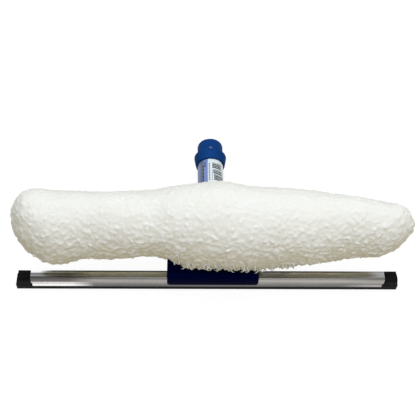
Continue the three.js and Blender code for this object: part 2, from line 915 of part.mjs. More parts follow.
function tubeBung() {
  const radius = tubeBore - fit;
  const end = bungStart + bungFlange + bungLength;
  const profile = [
    [0, bungStart],
    [tubeRadius - fit, bungStart],
    [tubeRadius - fit, bungStart + bungFlange],
    [radius, bungStart + bungFlange],
    [radius, end],
    [bungHole, end],
    [bungHole, end - bungLength / 3],
    [0, end - bungLength / 3],
  ];
  const hole = along(flushScrewHole(tubeScrewLength), '-z');
  const solid = cut(toSolid(turned(profile)), moved(hole, [0, tubeScrewPlace, -socketRadius]));
  return piece('tube_bung', solid, greyPlastic);
}

function tubeScrew() {
  const screw = along(flushScrew(tubeScrewLength), '-z');
  return piece('tube_screw', moved(screw, [0, tubeScrewPlace, threadFit - socketRadius]), screwSteel);
}

function gripLabel() {
  const inner = tubeRadius + labelThickness / 2;
  const outer = inner + labelThickness;
  const half = Math.PI * labelTurnShare;
  const shape = new THREE.Shape();
  shape.absarc(0, 0, outer, Math.PI / 2 - half, Math.PI / 2 + half);
  shape.absarc(0, 0, inner, Math.PI / 2 + half, Math.PI / 2 - half, true);
  const geometry = new THREE.ExtrudeGeometry(shape, {
    depth: labelEnd - labelStart,
    bevelEnabled: false,
    curveSegments: labelSegments,
  });
  geometry.rotateX(Math.PI / 2);
  geometry.translate(0, labelEnd, 0);
  return piece('grip_label', toSolid(geometry), paperFilm);
}

function spigotScrewPlace() {
  return flangeStart - spigotScrewSetback;
}

function poleSpigot() {
  const shankRadius = tubeBore - fit;
  const shankStart = flangeStart - shankLength;
  const boreEnd = flangeStart - shankFloor;
  const flangeEnd = flangeStart + flangeThickness;
  const profile = [
    [0, boreEnd],
    [shankBore, boreEnd],
    [shankBore, shankStart],
    [shankRadius, shankStart],
    [shankRadius, flangeStart],
    [flangeRadius, flangeStart],
    [flangeRadius, flangeEnd],
    [spigotRadius, flangeEnd],
    [spigotRadius, spigotEnd - spigotChamfer],
    [(spigotRadius + spigotTipRadius) / 2, spigotEnd - spigotChamfer / 3],
    [spigotTipRadius, spigotEnd],
    [0, spigotEnd],
  ];
  const at = [0, buttonPlace, 0];
  const well = rod(buttonFlangeRadius + fit, springBottom - fit, buttonFlangeTop + fit, 'z', at);
  const neck = rod(buttonRadius + fit, buttonFlangeTop, spigotRadius + overrun, 'z', at);
  const hole = along(flushScrewHole(spigotScrewLength), '-z');
  const screwHole = moved(hole, [0, spigotScrewPlace(), -tubeRadius]);
  return piece('pole_spigot', cut(toSolid(turned(profile)), well, neck, screwHole), bluePlastic);
}

function spigotScrew() {
  const screw = along(flushScrew(spigotScrewLength), '-z');
  return piece('spigot_screw', moved(screw, [0, spigotScrewPlace(), threadFit - tubeRadius]), screwSteel);
}

function lockCollar() {
  const flangeEnd = flangeStart + flangeThickness;
  const profile = closedProfile([
    [tubeRadius + fit, ringStart],
    [ringNeckRadius, ringStart],
    [ringShoulderRadius - fit, ringStart + ringNeckLength],
    [ringShoulderRadius + fit, ringStart + ringShoulderLength],
    [ringRadius, ringEnd - ringRim],
    [ringRadius, ringEnd],
    [spigotRadius + fit, ringEnd],
    [spigotRadius + fit, flangeEnd + fit],
    [flangeRadius + fit, flangeEnd + fit],
    [flangeRadius + fit, flangeStart - fit],
    [tubeRadius + fit, flangeStart - fit],
  ]);
  const notch = block(
    [-notchWidth / 2, ringEnd - notchDepth, 0],
    [notchWidth / 2, ringEnd + overrun, ringRadius + overrun],
  );
  return piece('lock_collar', cut(toSolid(turned(profile)), notch), bluePlastic);
}

function lockButton() {
  const profile = [
    [0, buttonFlangeBottom],
    [buttonFlangeRadius, buttonFlangeBottom],
    [buttonFlangeRadius, buttonFlangeTop],
    [buttonRadius, buttonFlangeTop],
    [buttonRadius, buttonTop - buttonDome],
    [buttonRadius - buttonDome, buttonTop],
    [0, buttonTop],
  ];
  const button = piece('lock_button', toSolid(along(turned(profile, screwSegments), 'z')), bluePlastic);
  button.position.y = buttonPlace;
  return button;
}

// One unbroken helix of wire, standing on the floor of the button's well
function buttonSpring() {
  const rings = [];
  const steps = springTurns * springStepsPerTurn;
  const climb = springLength - 2 * springWire;
  for (let s = 0; s <= steps; s += 1) {
    const turn = (2 * Math.PI * s) / springStepsPerTurn;
    const height = springBottom + springWire + (climb * s) / steps;
    const ring = [];
    for (let k = 0; k < springSides; k += 1) {
      const angle = (2 * Math.PI * k) / springSides;
      const radius = springRadius + springWire * Math.cos(angle);
      ring.push(radius * Math.cos(turn), radius * Math.sin(turn), height + springWire * Math.sin(angle));
    }
    rings.push(ring);
  }
  const spring = piece('button_spring', loft(rings), screwSteel);
  spring.position.y = buttonPlace;
  return spring;
}

function handleGroup() {
  const group = new THREE.Group();
  group.position.z = axisHeight;
  group.add(handleTube(), tubeBung(), tubeScrew(), gripLabel());
  group.add(poleSpigot(), spigotScrew(), lockCollar(), lockButton(), buttonSpring());
  return group;
}

function headGroup() {
  const group = new THREE.Group();
  group.add(yoke(), jawPlate(), ...jawScrews(), ...jawNuts());
  return group;
}

const tool = new THREE.Group();
tool.name = 'window_squeegee_washer';
tool.add(bladeGroup(), headGroup(), washerGroup(), handleGroup());

export default tool;
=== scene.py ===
"""Looks of a window washer: a fleece sleeve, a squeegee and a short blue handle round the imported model."""

import math

import bmesh
import bpy
import numpy as np
from mathutils import Matrix, Vector
from mathutils.bvhtree import BVHTree


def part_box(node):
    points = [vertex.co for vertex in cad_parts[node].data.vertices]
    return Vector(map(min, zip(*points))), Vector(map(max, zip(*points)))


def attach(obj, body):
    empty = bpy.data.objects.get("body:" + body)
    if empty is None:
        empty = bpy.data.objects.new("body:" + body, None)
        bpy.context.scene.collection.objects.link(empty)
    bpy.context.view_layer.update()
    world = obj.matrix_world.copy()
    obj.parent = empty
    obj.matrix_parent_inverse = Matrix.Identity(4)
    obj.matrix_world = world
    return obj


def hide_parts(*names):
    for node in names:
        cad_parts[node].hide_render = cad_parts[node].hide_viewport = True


bl_info = {
    "name": "Window squeegee washer",
    "version": (1, 0, 0),
    "blender": (4, 5, 0),
    "location": "3D View > Sidebar > Washer",
    "description": "Builds the fleece, metal, rubber and plastic of a window squeegee washer",
    "category": "Object",
}

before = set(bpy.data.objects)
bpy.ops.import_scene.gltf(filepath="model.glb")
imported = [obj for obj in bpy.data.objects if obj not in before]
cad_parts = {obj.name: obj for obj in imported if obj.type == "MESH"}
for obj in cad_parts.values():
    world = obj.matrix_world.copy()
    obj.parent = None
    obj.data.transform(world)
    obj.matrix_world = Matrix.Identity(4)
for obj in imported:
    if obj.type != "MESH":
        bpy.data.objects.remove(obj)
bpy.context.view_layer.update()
MM = 0.001

HEAD = "head"
BLADE = "blade"
COLLAR = "collar"
BUTTON = "button"

# The photograph's camera, fitted to the tool's own edges, in a picture of 420 by 420 pixels
PICTURE_WIDTH_PX = 420
FOCAL_LENGTH_PX = 775.8
CAMERA_PLACE = Vector((-26.1, -361.8, 623.5)) * MM
CAMERA_PITCH = math.radians(54.15)
CAMERA_YAW = math.radians(1.91)
CAMERA_ROLL = math.radians(0.35)
SENSOR_WIDTH_MM = 36
NEAREST_SEEN = 10 * MM

# The floor, just under the blade's lip, glows white where it is seen and bounces warm light
FLOOR_HALF_WIDTH = 8.0
FLOOR_LEVEL = -0.05 * MM
FLOOR_GLOW = 0.93
FLOOR_WHITE = (0.12, 0.12, 0.12, 1)
FLOOR_BOUNCE = (0.375, 0.30, 0.105, 1)

# The sky is white where it is seen, and weaker as a light
SKY_LIGHT = 0.42

# Name, place, aim, edge, power in watts and colour of each softbox
LAMPS = (
    ("Top softbox", (0.06, 0.10, 1.05), (0, 0.03, 0.05), 1.3, 8.6, (0.945, 0.985, 1.0)),
    ("Front fill", (0.5, -1.0, 0.8), (0, 0.02, 0.05), 0.7, 1.6, (1.0, 0.94, 0.82)),
)

# Radii of the pieces' edges
CHANNEL_EDGE = 0.25 * MM
BLADE_EDGE = 0.2 * MM
CAP_EDGE = 0.4 * MM
YOKE_EDGE = 0.5 * MM
JAW_EDGE = 0.4 * MM
TUBE_EDGE = 0.25 * MM
LABEL_EDGE = 0.05 * MM
SPIGOT_EDGE = 0.35 * MM
RING_EDGE = 0.35 * MM
BUTTON_EDGE = 0.1 * MM
BAR_EDGE = 0.4 * MM
STEM_EDGE = 0.3 * MM
BUNG_EDGE = 0.2 * MM
TAPE_EDGE = 0.2 * MM
PAIRED_SCREW_EDGE = 0.12 * MM
SINGLE_SCREW_EDGE = 0.1 * MM

# Edges that turn by more than a crease are rounded, and on the bent channel only the sharper ones
CREASE = math.radians(32)
CHANNEL_CREASE = math.radians(50)
SHARP_SHADING = math.radians(40)
FLAT_FACES = math.radians(0.4)

# The front jaw's lower edge: its rounded ends, and how far it is drawn down over the channel
JAW_CORNER = 3 * MM
JAW_REACH = 1.1 * MM

# The sleeve's inner walls lie within this margin of what they wrap
INNER_MARGIN = 2.6 * MM

# Hills on the sleeve's outline, each with its place along X, its reach and its height in mm
CROWDED_MIDDLE = (9, 15, 1.7)
BROAD_CROWN = (26, 75, 1.9)
LEFT_SHOULDER = (-156, 15, 2.6)
FRONT_HEM = (30, 70, 1.2)
CROWN_BASE_MM = 0.4
TIP_HEIGHT_MM = 2.4
TIP_START = 140 * MM
TIP_LENGTH = 25 * MM

# The way that the sleeve's rear upper side faces, and how far round it the fullness goes
REAR_UPPER_SIDE = np.array([0.0, 0.81, 0.59])
SIDE_OVERLAP = 0.25

# Frames of cloth in which the sleeve swells
SWELL_FRAMES = 20

# The fringe of loose tufts: the way that it faces, how nearly its pile faces so, and its stretch of X
LOWER_FRONT_EDGE = np.array([0.0, -0.56, -0.83])
LOOSE_FROM = 0.81
LOOSE_FADE = 0.1
FRINGE_CENTRE = 18 * MM
FRINGE_HALF_WIDTH = 59 * MM
FRINGE_FADE = 12 * MM
TUFT_LIFT_SHARE = 0.42
TUFT_SEED_STEP = 7

# Points of a lock of wool, as shares: of its length along, of its lift up, of its length aside
LOCK_ROOT = (-0.12, -0.35, 0.0)
LOCK_BEND = (0.34, 1.25, 0.10)
LOCK_TIP = (0.88, 0.35, -0.12)
LOCK_STEPS = 4
LOCK_SIDES = 4

# A lock's width at its root, and how it swells and tapers on its way to the tip, as shares of it
ROOT_WIDTH_SHARE = 0.62
SWELL_SHARE = 1.15
TAPER_SHARE = 1.62

# The pile's height, which sets the painted shade in the pile's hollows, at a lock's root, and the share of a
# lock's width that adds to it
ROOT_PILE_HEIGHT = 0.3
LOCK_THICKNESS_SHARE = 0.3

# How locks are strewn: their sizes, smaller on the upper side, the way they lie and how they roll
LOCK_SIZES = (0.7, 1.25)
LOWER_AND_UPPER_SIDE = (-0.3, 0.9)
LOWER_AND_UPPER_SCALE = (1.1, 0.6)
LOCK_LIE = (0.12, 0.0, -1.0)
LOCK_ROLL = 0.25
MOST_LOCKS_PER_SQUARE_METRE = 4e5


class SleeveSettings(bpy.types.PropertyGroup):
    cell: bpy.props.FloatProperty(
        name="Cell", description="Edge of the cells that the sleeve is remeshed in",
        default=4.4 * MM, min=3 * MM, unit="LENGTH")
    shrink: bpy.props.FloatProperty(
        name="Shrink", description="How far the fabric is drawn in before it swells",
        default=1.2 * MM, unit="LENGTH")
    pressure: bpy.props.FloatProperty(
        name="Pressure", description="Pressure that swells the sleeve", default=4.0)
    swell: bpy.props.FloatProperty(
        name="Swell", description="The furthest that a point of the sleeve may move",
        default=2.4 * MM, unit="LENGTH")
    clump: bpy.props.FloatProperty(
        name="Clump", description="Width of the soft hills in the pile", default=15 * MM, unit="LENGTH")
    clump_height: bpy.props.FloatProperty(
        name="Clump height", description="Height of the soft hills", default=1.0 * MM, unit="LENGTH")
    curl: bpy.props.FloatProperty(
        name="Curl", description="Width of the hollows between curls", default=5.5 * MM, unit="LENGTH")
    curl_height: bpy.props.FloatProperty(
        name="Curl height", description="Depth of the hollows between curls", default=0.6 * MM, unit="LENGTH")
    lock_spacing: bpy.props.FloatProperty(
        name="Lock spacing", description="Least distance between two locks of wool",
        default=2.2 * MM, min=1.5 * MM, unit="LENGTH")
    lock_length: bpy.props.FloatProperty(
        name="Lock length", description="Length of one lock of wool", default=5.2 * MM, unit="LENGTH")
    lock_width: bpy.props.FloatProperty(
        name="Lock width", description="Width of one lock of wool", default=2.6 * MM, unit="LENGTH")
    lock_lift: bpy.props.FloatProperty(
        name="Lock lift", description="How far a lock stands off the skin", default=0.72 * MM, unit="LENGTH")
    melt: bpy.props.FloatProperty(
        name="Melt", description="Cells in which the locks are melted into one pile",
        default=0.9 * MM, min=0.8 * MM, unit="LENGTH")
    tuft_spacing: bpy.props.FloatProperty(
        name="Tuft spacing", description="Least distance between two of the loose tufts over the clamp",
        default=1.25 * MM, min=1 * MM, unit="LENGTH")
    tuft_length: bpy.props.FloatProperty(
        name="Tuft length", description="Length of a loose tuft", default=6.4 * MM, unit="LENGTH")
    tuft_width: bpy.props.FloatProperty(
        name="Tuft width", description="Width of a loose tuft", default=1.8 * MM, unit="LENGTH")
    seed: bpy.props.IntProperty(name="Seed", description="Another scatter of the locks", default=4)
    crest: bpy.props.FloatVectorProperty(
        name="Crest colour", description="Colour of the pile's tips", subtype="COLOR",
        size=4, default=(0.94, 0.96, 0.965, 1))
    # The hollow colour is painted shade, darker and creamier where the pile stands low between the curls
    hollow: bpy.props.FloatVectorProperty(
        name="Hollow colour", description="Colour down between the curls", subtype="COLOR",
        size=4, default=(0.91, 0.905, 0.865, 1))


class FinishSettings(bpy.types.PropertyGroup):
    steel: bpy.props.FloatVectorProperty(
        name="Channel steel", description="Colour of the drawn channel", subtype="COLOR",
        size=4, default=(0.985, 0.93, 0.90, 1))
    zinc: bpy.props.FloatVectorProperty(
        name="Screw steel", description="Colour of screws and nuts", subtype="COLOR",
        size=4, default=(0.58, 0.59, 0.60, 1))
    rubber: bpy.props.FloatVectorProperty(
        name="Rubber", description="Colour of the blade", subtype="COLOR",
        size=4, default=(0.0015, 0.0015, 0.0013, 1))
    cap: bpy.props.FloatVectorProperty(
        name="End caps", description="Colour of the end caps", subtype="COLOR",
        size=4, default=(0.0065, 0.0063, 0.0075, 1))
    navy: bpy.props.FloatVectorProperty(
        name="Clamp plastic", description="Colour of the clamp and yoke", subtype="COLOR",
        size=4, default=(0.0002, 0.0017, 0.03, 1))
    blue: bpy.props.FloatVectorProperty(
        name="Handle plastic", description="Colour of the handle", subtype="COLOR",
        size=4, default=(0.0068, 0.051, 0.215, 1))
    # A lighter copy of the handle's blue: painted highlight on the lock button
    button: bpy.props.FloatVectorProperty(
        name="Lit button plastic", description="Colour of the lock button", subtype="COLOR",
        size=4, default=(0.035, 0.11, 0.32, 1))
    inner: bpy.props.FloatVectorProperty(
        name="Inner plastic", description="Colour of the hidden frame parts", subtype="COLOR",
        size=4, default=(0.30, 0.32, 0.34, 1))
    tape: bpy.props.FloatVectorProperty(
        name="Tape", description="Colour of the woven tapes", subtype="COLOR",
        size=4, default=(0.70, 0.68, 0.62, 1))


# Node helpers
def node(tree, kind, inputs=None, **settings):
    made = tree.nodes.new(kind)
    for key, value in settings.items():
        setattr(made, key, value)
    for key, value in (inputs or {}).items():
        if isinstance(value, bpy.types.NodeSocket):
            tree.links.new(value, made.inputs[key])
        else:
            made.inputs[key].default_value = value
    return made


def calc(tree, operation, *values):
    return node(tree, "ShaderNodeMath", dict(enumerate(values)), operation=operation).outputs[0]


def vector_calc(tree, operation, *values):
    return node(tree, "ShaderNodeVectorMath", dict(enumerate(values)), operation=operation).outputs[0]


def scaled(tree, vector, factor):
    made = node(tree, "ShaderNodeVectorMath", {0: vector, "Scale": factor}, operation="SCALE")
    return made.outputs[0]


def ramp(tree, factor, low, high, out_low=0.0, out_high=1.0):
    made = node(tree, "ShaderNodeMapRange", {
        "Value": factor, "From Min": low, "From Max": high, "To Min": out_low, "To Max": out_high})
    return made.outputs["Result"]


def mixed(tree, factor, first, second):
    made = node(tree, "ShaderNodeMix", data_type="RGBA")
    for key, value in (("Factor", factor), ("A", first), ("B", second)):
        socket = next(s for s in made.inputs if s.name == key and s.enabled)
        if isinstance(value, bpy.types.NodeSocket):
            tree.links.new(value, socket)
        else:
            socket.default_value = value
    return next(s for s in made.outputs if s.enabled)


def material(name, **constants):
    made = bpy.data.materials.new(name)
    made.use_nodes = True
    tree = made.node_tree
    shader = tree.nodes["Principled BSDF"]
    for key, value in constants.items():
        shader.inputs[key.replace("_", " ")].default_value = value
    return made, tree, shader


def object_point(tree):
    return node(tree, "ShaderNodeTexCoord").outputs["Object"]


def stretched(tree, point, factors):
    return vector_calc(tree, "MULTIPLY", point, factors)


def noise(tree, point, size, detail=2.0, roughness=0.5, distortion=0.0):
    made = node(tree, "ShaderNodeTexNoise", {
        "Vector": point, "Scale": 1 / size, "Detail": detail, "Roughness": roughness,
        "Distortion": distortion})
    return made.outputs[0]


def within(tree, value, low, high):
    """1 where the value lies between low and high."""
    return calc(tree, "COMPARE", value, (low + high) / 2, (high - low) / 2)


def bump(tree, shader, height, distance, strength=1.0):
    made = node(tree, "ShaderNodeBump", {"Height": height, "Distance": distance, "Strength": strength})
    tree.links.new(made.outputs["Normal"], shader.inputs["Normal"])


def shade(tree, shader, socket, value):
    tree.links.new(value, shader.inputs[socket])


# Materials
def lighter(colour, factor):
    return tuple(min(1.0, channel * factor) for channel in colour[:3]) + (1.0,)


def mottled(tree, pattern, colour, dark, light, low=0.3, high=0.7):
    """The colour times dark where the pattern is low, and times light where it is high."""
    return mixed(tree, ramp(tree, pattern, low, high), lighter(colour, dark), lighter(colour, light))


def moulded_plastic(name, colour, roughness, gloss):
    made, tree, shader = material(name, Specular_IOR_Level=gloss)
    cloud_width, scuff_width, grain_width = 18 * MM, 1.2 * MM, 0.35 * MM
    scuff_stretch = (1, 0.35, 1)
    grain_depth = 0.012 * MM
    point = object_point(tree)
    cloud = noise(tree, point, cloud_width, detail=3)
    shade(tree, shader, "Base Color", mottled(tree, cloud, colour, 0.85, 1.15))
    scuff = noise(tree, stretched(tree, point, scuff_stretch), scuff_width, detail=4)
    shade(tree, shader, "Roughness", ramp(tree, scuff, 0.25, 0.75, roughness - 0.06, roughness + 0.08))
    bump(tree, shader, noise(tree, point, grain_width, detail=2), grain_depth)
    return made


def stepped(tree, value, low, high, stops):
    """A smooth run of grey levels along the value: stops are pairs of a place and a level."""
    made = node(tree, "ShaderNodeValToRGB", {0: ramp(tree, value, low, high)})
    elements = made.color_ramp.elements
    while len(elements) < len(stops):
        elements.new(0.5)
    for element, (place, level) in zip(elements, sorted(stops)):
        element.position = (place - low) / (high - low)
        element.color = (level, level, level, 1)
    return made.outputs["Color"]


# Places round the channel's profile, in mm, and their grey levels of painted reflection and shade, dark along
# the rear top edge.
# A place is a point's Y less its depth below the top, so the rear top edge is at 3.6 and the foot of the
# front at -19.5
PROFILE_START = -20
PROFILE_END = 5
MIDDLE_PAINTED_REFLECTIONS = (
    (5, 0.05), (2.75, 0.05), (2.3, 1.0), (1.0, 1.0), (0.2, 0.6), (-1.2, 0.58), (-2.0, 0.5),
    (-2.8, 0.17), (-4.4, 0.15), (-5.4, 0.26), (-6.8, 0.45), (-8.4, 0.42), (-10.2, 0.30),
    (-12.5, 0.22), (-14.6, 0.15), (-16.5, 0.12), (-18.0, 0.11), (-18.6, 0.01), (-20, 0.01))
LEFT_PAINTED_REFLECTIONS = (
    (5, 0.1), (2.75, 0.1), (2.4, 0.9), (1.6, 0.8), (0.7, 0.17), (-0.3, 0.21), (-1.4, 0.37),
    (-2.4, 0.12), (-3.5, 0.05), (-4.6, 0.11), (-5.8, 0.135), (-7.1, 0.155), (-8.5, 0.145),
    (-10.0, 0.3), (-11.0, 0.5), (-18.4, 0.5), (-18.8, 0.02), (-20, 0.02))
RIGHT_PAINTED_REFLECTIONS = (
    (5, 0.34), (-0.5, 0.34), (-1.8, 0.28), (-2.8, 0.13), (-4.6, 0.13), (-6.0, 0.3), (-8.0, 0.36),
    (-12.5, 0.34), (-15.0, 0.34), (-16.0, 0.42), (-18.2, 0.5), (-18.8, 0.2), (-20, 0.2))

# Where the painted reflections of the channel's ends give way to its middle's, from the nearer end
LEFT_FADE = (34 * MM, 56 * MM)
RIGHT_FADE = (8 * MM, 38 * MM)
RIGHT_SHARE = 0.85

# White reflections at the left end, round the profile, and where the one along the top fades
FOOT_GLEAM = (-18.4 * MM, -11 * MM)
RIDGE_GLEAM = (2.3 * MM, 3.7 * MM)
RIDGE_FADE = (8 * MM, 20 * MM)

# Round the profile the steel turns from warm, low on the front, to cold at the top
WARMTH_FADE = (-4.5 * MM, -2.5 * MM)
WARM_TINT = (1.0, 0.97, 0.93, 1)
COLD_TINT = (0.94, 0.98, 1.0, 1)


def painted_reflection_bands(tree, profile, stops):
    in_metres = [(place * MM, level) for place, level in stops]
    return stepped(tree, profile, PROFILE_START * MM, PROFILE_END * MM, in_metres)


def drawn_steel(name, colour):
    """Metal rolled along X: painted reflections in bands across the profile, brighter towards both ends, and
    fine lines.
    """
    made, tree, shader = material(name, Metallic=1.0)
    line_width, band_width, patch_width = 0.9 * MM, 4.2 * MM, 9 * MM
    line_depth = 0.02 * MM
    rolled, patch_stretch = (0.012, 1, 1), (0.25, 1, 1)
    point = object_point(tree)
    place = node(tree, "ShaderNodeSeparateXYZ", {0: point})
    low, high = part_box("blade_channel")
    from_left = calc(tree, "SUBTRACT", place.outputs["X"], low[0])
    from_right = calc(tree, "SUBTRACT", high[0], place.outputs["X"])
    drop = calc(tree, "SUBTRACT", high[2], place.outputs["Z"])
    profile = calc(tree, "SUBTRACT", place.outputs["Y"], drop)

    # Painted reflections and shade: grey bands round the profile, painted brighter towards both ends
    left_end = ramp(tree, from_left, *LEFT_FADE, 1.0, 0.0)
    right_end = ramp(tree, from_right, *RIGHT_FADE, RIGHT_SHARE, 0.0)
    tone = painted_reflection_bands(tree, profile, MIDDLE_PAINTED_REFLECTIONS)
    tone = mixed(tree, left_end, tone, painted_reflection_bands(tree, profile, LEFT_PAINTED_REFLECTIONS))
    tone = mixed(tree, right_end, tone, painted_reflection_bands(tree, profile, RIGHT_PAINTED_REFLECTIONS))

    along = stretched(tree, point, rolled)
    line = noise(tree, along, line_width, detail=4, roughness=0.65)
    band = noise(tree, along, band_width, detail=1)
    streak = mottled(tree, band, colour, 0.8, 1.05, low=0.35, high=0.65)
    streak = mixed(tree, ramp(tree, line, 0.35, 0.7, 0.0, 0.5), streak, lighter(colour, 1.25))
    tint = mixed(tree, ramp(tree, profile, *WARMTH_FADE, 1.0, 0.0), COLD_TINT, WARM_TINT)
    tone = vector_calc(tree, "MULTIPLY", vector_calc(tree, "MULTIPLY", tone, streak), tint)

    # Painted white reflections at the left end, low on the front and along the top
    foot = calc(tree, "MULTIPLY", within(tree, profile, *FOOT_GLEAM), left_end)
    corner = ramp(tree, from_left, *RIDGE_FADE, 1.0, 0.0)
    ridge = calc(tree, "MULTIPLY", within(tree, profile, *RIDGE_GLEAM), corner)
    gleam = calc(tree, "MAXIMUM", foot, ridge)
    shade(tree, shader, "Base Color", mixed(tree, gleam, tone, (1, 1, 1, 1)))
    patch = noise(tree, stretched(tree, point, patch_stretch), patch_width, detail=3)
    shade(tree, shader, "Roughness", ramp(tree, patch, 0.3, 0.7, 0.16, 0.3))
    bump(tree, shader, line, line_depth)
    return made


def zinc_steel(name, colour):
    made, tree, shader = material(name, Metallic=1.0)
    bloom_width, grain_width = 1.6 * MM, 0.25 * MM
    grain_depth = 0.01 * MM
    point = object_point(tree)
    bloom = noise(tree, point, bloom_width, detail=4)
    shade(tree, shader, "Base Color", mottled(tree, bloom, colour, 0.8, 1.15))
    shade(tree, shader, "Roughness", ramp(tree, bloom, 0.3, 0.7, 0.28, 0.42))
    bump(tree, shader, noise(tree, point, grain_width), grain_depth)
    return made


def black_rubber(name, colour, roughness):
    made, tree, shader = material(name, Specular_IOR_Level=0.03)
    dust_width, grain_width = 2.5 * MM, 0.3 * MM
    dust_stretch = (0.3, 1, 1)
    grain_depth = 0.015 * MM
    point = object_point(tree)
    dust = noise(tree, stretched(tree, point, dust_stretch), dust_width, detail=4)
    shade(tree, shader, "Base Color", mottled(tree, dust, colour, 1.0, 2.2, low=0.45, high=0.8))
    shade(tree, shader, "Roughness", ramp(tree, dust, 0.3, 0.7, roughness, roughness + 0.12))
    bump(tree, shader, noise(tree, point, grain_width, detail=3), grain_depth)
    return made


def woven_tape(name, colour):
    made, tree, shader = material(name, Sheen_Weight=0.3, Roughness=0.9)
    thread_pitch, thread_depth, cloud_width = 0.9 * MM, 0.12 * MM, 2 * MM
    point = object_point(tree)
    threads = []
    for direction in ((1, 0, 0), (0, 0.7, 1)):
        along = node(tree, "ShaderNodeVectorMath", {0: point, 1: direction}, operation="DOT_PRODUCT")
        turn = calc(tree, "MULTIPLY", along.outputs["Value"], 2 * math.pi / thread_pitch)
        threads.append(calc(tree, "SINE", turn))
    weave = calc(tree, "MULTIPLY", *threads)
    cloud = noise(tree, point, cloud_width, detail=3)
    tone = mottled(tree, weave, colour, 0.75, 1.1, low=-1, high=1)
    tone = mixed(tree, ramp(tree, cloud, 0.3, 0.7, 0, 0.4), tone, lighter(colour, 0.9))
    shade(tree, shader, "Base Color", tone)
    bump(tree, shader, weave, thread_depth)
    return made


# Stretches of the label round the tube, measured from its top line towards the right
LABEL_PANEL = (-24 * MM, -3.4 * MM)
LABEL_STRIP = (-13.0 * MM, -8.2 * MM)
PAPER_TONES = (0.87, 0.94, 0.99, 1), (0.73, 0.82, 0.90, 1)
PANEL_TONE = (0.21, 0.28, 0.61, 1)
STRIP_TONE = (0.14, 0.18, 0.27, 1)
INK_TONE = (0.02, 0.027, 0.03, 1)
BAR_SHARE = 0.78

# Blocks of bars on the label, in mm: from and to round the tube, from and to along Y, and the
# bars' pitch, then how strongly they cover
LABEL_BLOCKS = (
    (1.4, 12.6, 119.0, 125.8, 2.0, 1.0),
    (2.6, 13.6, 112.4, 117.8, 2.3, 1.0),
    (3.2, 15.5, 104.6, 111.4, 2.0, 1.0),
    (1.0, 7.0, 101.4, 102.8, 2.0, 0.6),
    (-2.4, -0.9, 104.0, 125.4, 2.2, 0.75),
    (1.0, 2.0, 104.0, 118.0, 2.0, 0.6),
    (-9.8, -7.9, 104.0, 124.5, 4.2, 0.95),
    (-7.2, -5.7, 121.0, 127.0, 3.4, 0.95),
)


def bar_block(tree, around, along, block):
    """How strongly one block of bars covers the label at each point."""
    *sizes, cover = block
    left, right, start, end, pitch = (size * MM for size in sizes)
    inside = calc(tree, "MULTIPLY", within(tree, around, left, right), within(tree, along, start, end))
    step = calc(tree, "DIVIDE", calc(tree, "SUBTRACT", along, start), pitch)
    bars = calc(tree, "LESS_THAN", calc(tree, "FRACT", step), BAR_SHARE)
    return calc(tree, "MULTIPLY", calc(tree, "MULTIPLY", inside, bars), cover)


def printed_label(name):
    """White film with a lavender side panel, a darker strip and blocks of plain dark bars."""
    made, tree, shader = material(name, Roughness=0.42, Specular_IOR_Level=0.3)
    paper_width, break_width, crease_width = 7 * MM, 1.6 * MM, 3 * MM
    crease_depth = 0.05 * MM
    point = object_point(tree)
    place = node(tree, "ShaderNodeSeparateXYZ", {0: point})
    low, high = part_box("grip_label")
    axis_height = (low[2] + high[2]) / 2
    radius = (high[0] - low[0]) / 2
    upright = calc(tree, "SUBTRACT", place.outputs["Z"], axis_height)
    turn = calc(tree, "ARCTAN2", place.outputs["X"], upright)
    around = calc(tree, "MULTIPLY", turn, radius)
    tone = mixed(tree, noise(tree, point, paper_width, detail=4), *PAPER_TONES)
    tone = mixed(tree, within(tree, around, *LABEL_PANEL), tone, PANEL_TONE)
    tone = mixed(tree, within(tree, around, *LABEL_STRIP), tone, STRIP_TONE)
    breaks = ramp(tree, noise(tree, point, break_width, detail=1), 0.38, 0.46, 0.75, 1.0)
    for block in LABEL_BLOCKS:
        mark = bar_block(tree, around, place.outputs["Y"], block)
        tone = mixed(tree, calc(tree, "MULTIPLY", mark, breaks), tone, INK_TONE)
    shade(tree, shader, "Base Color", tone)
    bump(tree, shader, noise(tree, point, crease_width, detail=3), crease_depth)
    return made


def fleece(settings):
    """Wool with painted shade, a darker and creamier colour, down between its curls, and creamier in soft
    clouds all over.
    """
    made, tree, shader = material(
        "Fleece pile", Roughness=0.95, Sheen_Weight=0.15, Sheen_Roughness=0.6, Specular_IOR_Level=0.1)
    cloud_width, strand_width, strand_depth = 26 * MM, 0.7 * MM, 0.25 * MM
    cream = (0.88, 0.86, 0.74, 1)
    point = object_point(tree)
    height = node(tree, "ShaderNodeAttribute", attribute_name="pile_height").outputs["Fac"]
    # Painted shade: the hollow colour where the pile stands low, the crest colour on its tips
    tone = mixed(tree, ramp(tree, height, 0.1, 0.7), tuple(settings.hollow), tuple(settings.crest))
    cloud = noise(tree, point, cloud_width, detail=3)
    tone = mixed(tree, ramp(tree, cloud, 0.45, 0.8, 0.0, 0.22), tone, cream)
    shade(tree, shader, "Base Color", tone)
    strand = noise(tree, point, strand_width, detail=3, distortion=1.5)
    bump(tree, shader, strand, strand_depth, strength=0.6)
    return made


